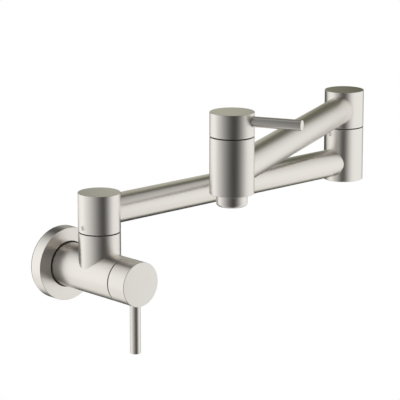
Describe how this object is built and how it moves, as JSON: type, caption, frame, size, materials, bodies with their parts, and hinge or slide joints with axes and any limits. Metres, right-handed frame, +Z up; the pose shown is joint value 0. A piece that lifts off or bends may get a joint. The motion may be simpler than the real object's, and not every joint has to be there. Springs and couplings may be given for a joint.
{
  "type": "pot filler",
  "caption": "Wall mounted pot filler with a jointed folding arm, lever valves at the wall and at the spout, and an aerated outlet.",
  "frame": {"origin": "centre of the inlet's mouth, on the wall plane behind the flange", "axes": "+Z up, +Y into the wall along the inlet, +X along the wall, where the first arm lies"},
  "size_m": [0.3468, 0.2374, 0.2131],
  "materials": {
    "satin_nickel": "brushed and satin, nickel plated brass",
    "machined_brass": "machined, unplated",
    "black_rubber": "moulded, lightly greased",
    "grey_foam": "closed cell foam",
    "black_nylon": "turned black nylon",
    "white_ceramic": "lapped",
    "stainless_steel": "plain stainless",
    "aerator_plastic": "moulded"
  },
  "bodies": {
    "wall_valve": {"wall_flange": "satin_nickel", "flange_gasket": "grey_foam", "flange_oring": "black_rubber", "wall_body": "satin_nickel", "wall_cartridge_housing": "machined_brass", "wall_cartridge_seal": "black_rubber", "wall_fixed_disc": "white_ceramic", "wall_housing_oring": "black_rubber", "wall_swivel_post": "machined_brass", "wall_post_orings": "black_rubber", "wall_swivel_washer": "black_nylon"},
    "wall_handle": {"wall_handle_hub": "satin_nickel", "wall_handle_lever": "satin_nickel", "wall_handle_grub_screw": "stainless_steel", "wall_spline_adapter": "machined_brass", "wall_cartridge_stem": "machined_brass", "wall_moving_disc": "white_ceramic", "wall_stem_oring": "black_rubber", "wall_stem_circlip": "stainless_steel"},
    "inner_arm": {"inner_arm_hub": "satin_nickel", "inner_arm_tube": "satin_nickel", "elbow_lower_barrel": "satin_nickel", "arm_set_screws": "stainless_steel", "elbow_swivel_washer": "black_nylon"},
    "outer_arm": {"elbow_upper_barrel": "satin_nickel", "elbow_post": "machined_brass", "elbow_post_orings": "black_rubber", "outer_arm_tube": "satin_nickel", "spout_body": "satin_nickel", "spout_cartridge_housing": "machined_brass", "spout_cartridge_seal": "black_rubber", "spout_fixed_disc": "white_ceramic", "spout_housing_oring": "black_rubber", "aerator_housing": "satin_nickel", "aerator_insert": "aerator_plastic", "aerator_washer": "black_rubber"},
    "spout_handle": {"spout_handle_hub": "satin_nickel", "spout_handle_lever": "satin_nickel", "spout_handle_grub_screw": "stainless_steel", "spout_spline_adapter": "machined_brass", "spout_cartridge_stem": "machined_brass", "spout_moving_disc": "white_ceramic", "spout_stem_oring": "black_rubber", "spout_stem_circlip": "stainless_steel"}
  },
  "joints": [
    {"name": "wall_swivel", "type": "hinge", "parent": "wall_valve", "child": "inner_arm", "pos_m": [0, -0.0535, 0.053], "axis": [0, 0, -1], "range_deg": [0, 180]},
    {"name": "elbow_swivel", "type": "hinge", "parent": "inner_arm", "child": "outer_arm", "pos_m": [0.297, -0.0535, 0.0858], "axis": [0, 0, 1], "continuous": true},
    {"name": "wall_handle_turn", "type": "hinge", "parent": "wall_valve", "child": "wall_handle", "pos_m": [0, -0.095, 0], "axis": [0, -1, 0], "range_deg": [0, 90]},
    {"name": "spout_handle_turn", "type": "hinge", "parent": "outer_arm", "child": "spout_handle", "pos_m": [0.0296, -0.18276, 0.143], "axis": [0, 0, 1], "range_deg": [0, 90]}
  ]
}
